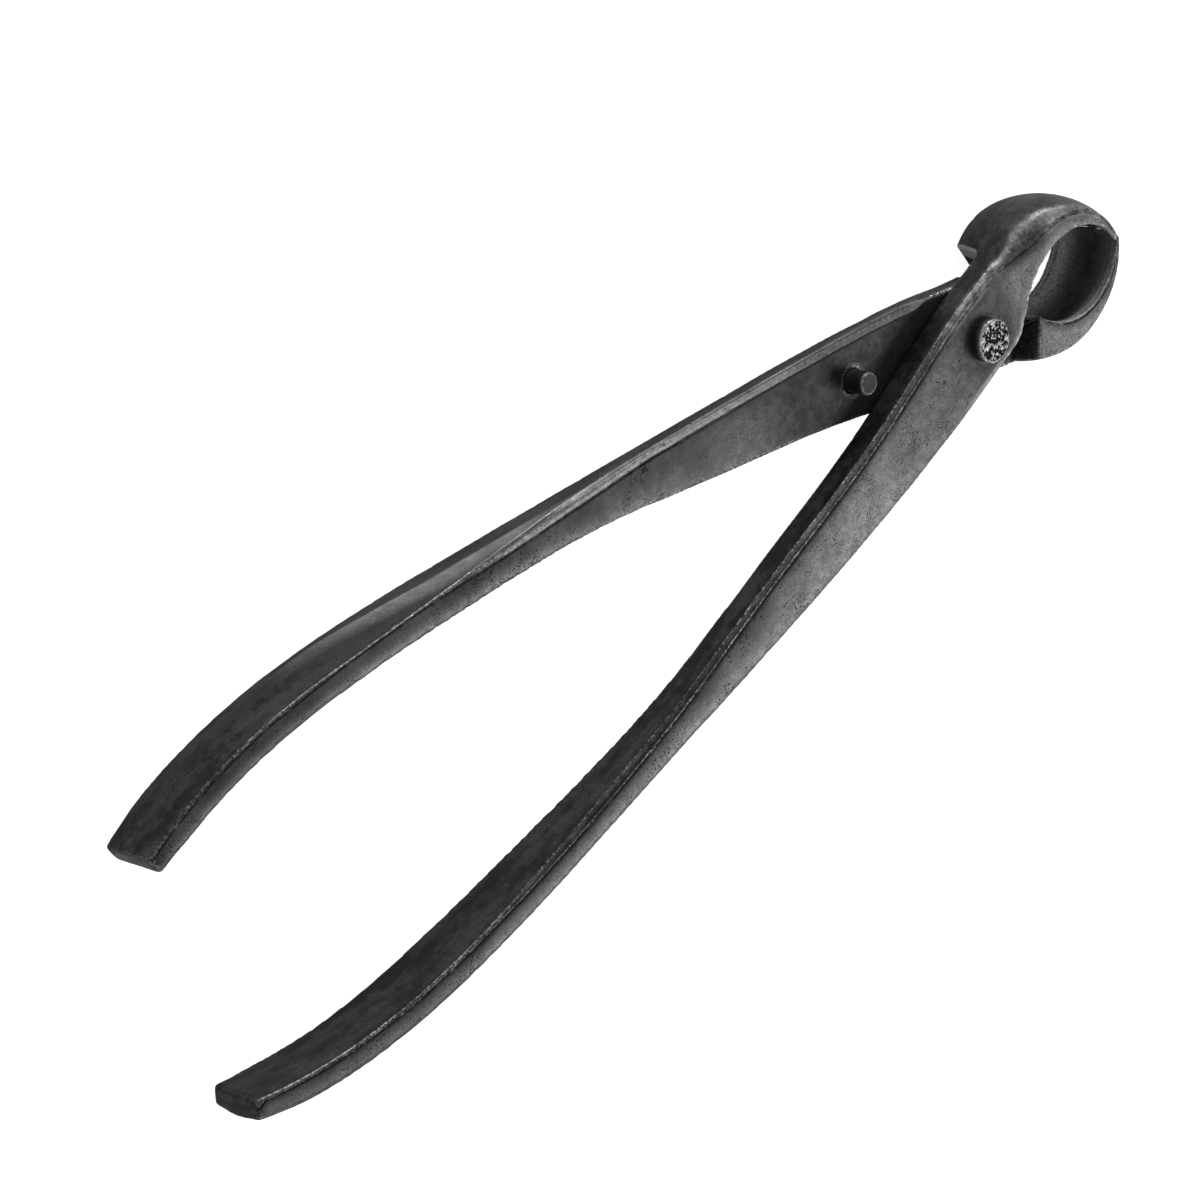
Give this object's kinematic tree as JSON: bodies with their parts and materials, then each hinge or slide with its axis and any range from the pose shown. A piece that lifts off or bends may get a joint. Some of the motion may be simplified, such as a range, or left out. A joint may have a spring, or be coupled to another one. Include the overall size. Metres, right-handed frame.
{
  "type": "forged two-lever nipping cutter",
  "caption": "Short forged steel tongs-style nipper: two crossed levers on a hammered rivet, long bowed handles, a stop pin beside the pivot and cupped jaws that meet edge to edge.",
  "frame": {"origin": "under the middle of the closed tool, on the plane that it lies on", "axes": "+X along the tool towards the jaws, +Z along the pivot towards the hammered rivet head, away from the surface it lies on, +Y towards the near lever's jaw"},
  "size_m": [0.2136, 0.0598, 0.014],
  "materials": {
    "forged_steel": "black oxide forging, satin with dark pits and brighter worn edges",
    "rivet_steel": "hammered head, bright high spots over blackened hollows",
    "pin_steel": "blackened steel with a worn bright rim"
  },
  "bodies": {
    "near_half": {"near_lever": "forged_steel", "pivot_rivet": "rivet_steel"},
    "far_half": {"far_lever": "forged_steel", "stop_pin": "pin_steel"}
  },
  "joints": [
    {"name": "jaw_pivot", "type": "hinge", "parent": "near_half", "child": "far_half", "pos_m": [0.0722, 0, 0.007], "axis": [0, 0, -1], "range_deg": [0, 60]}
  ]
}
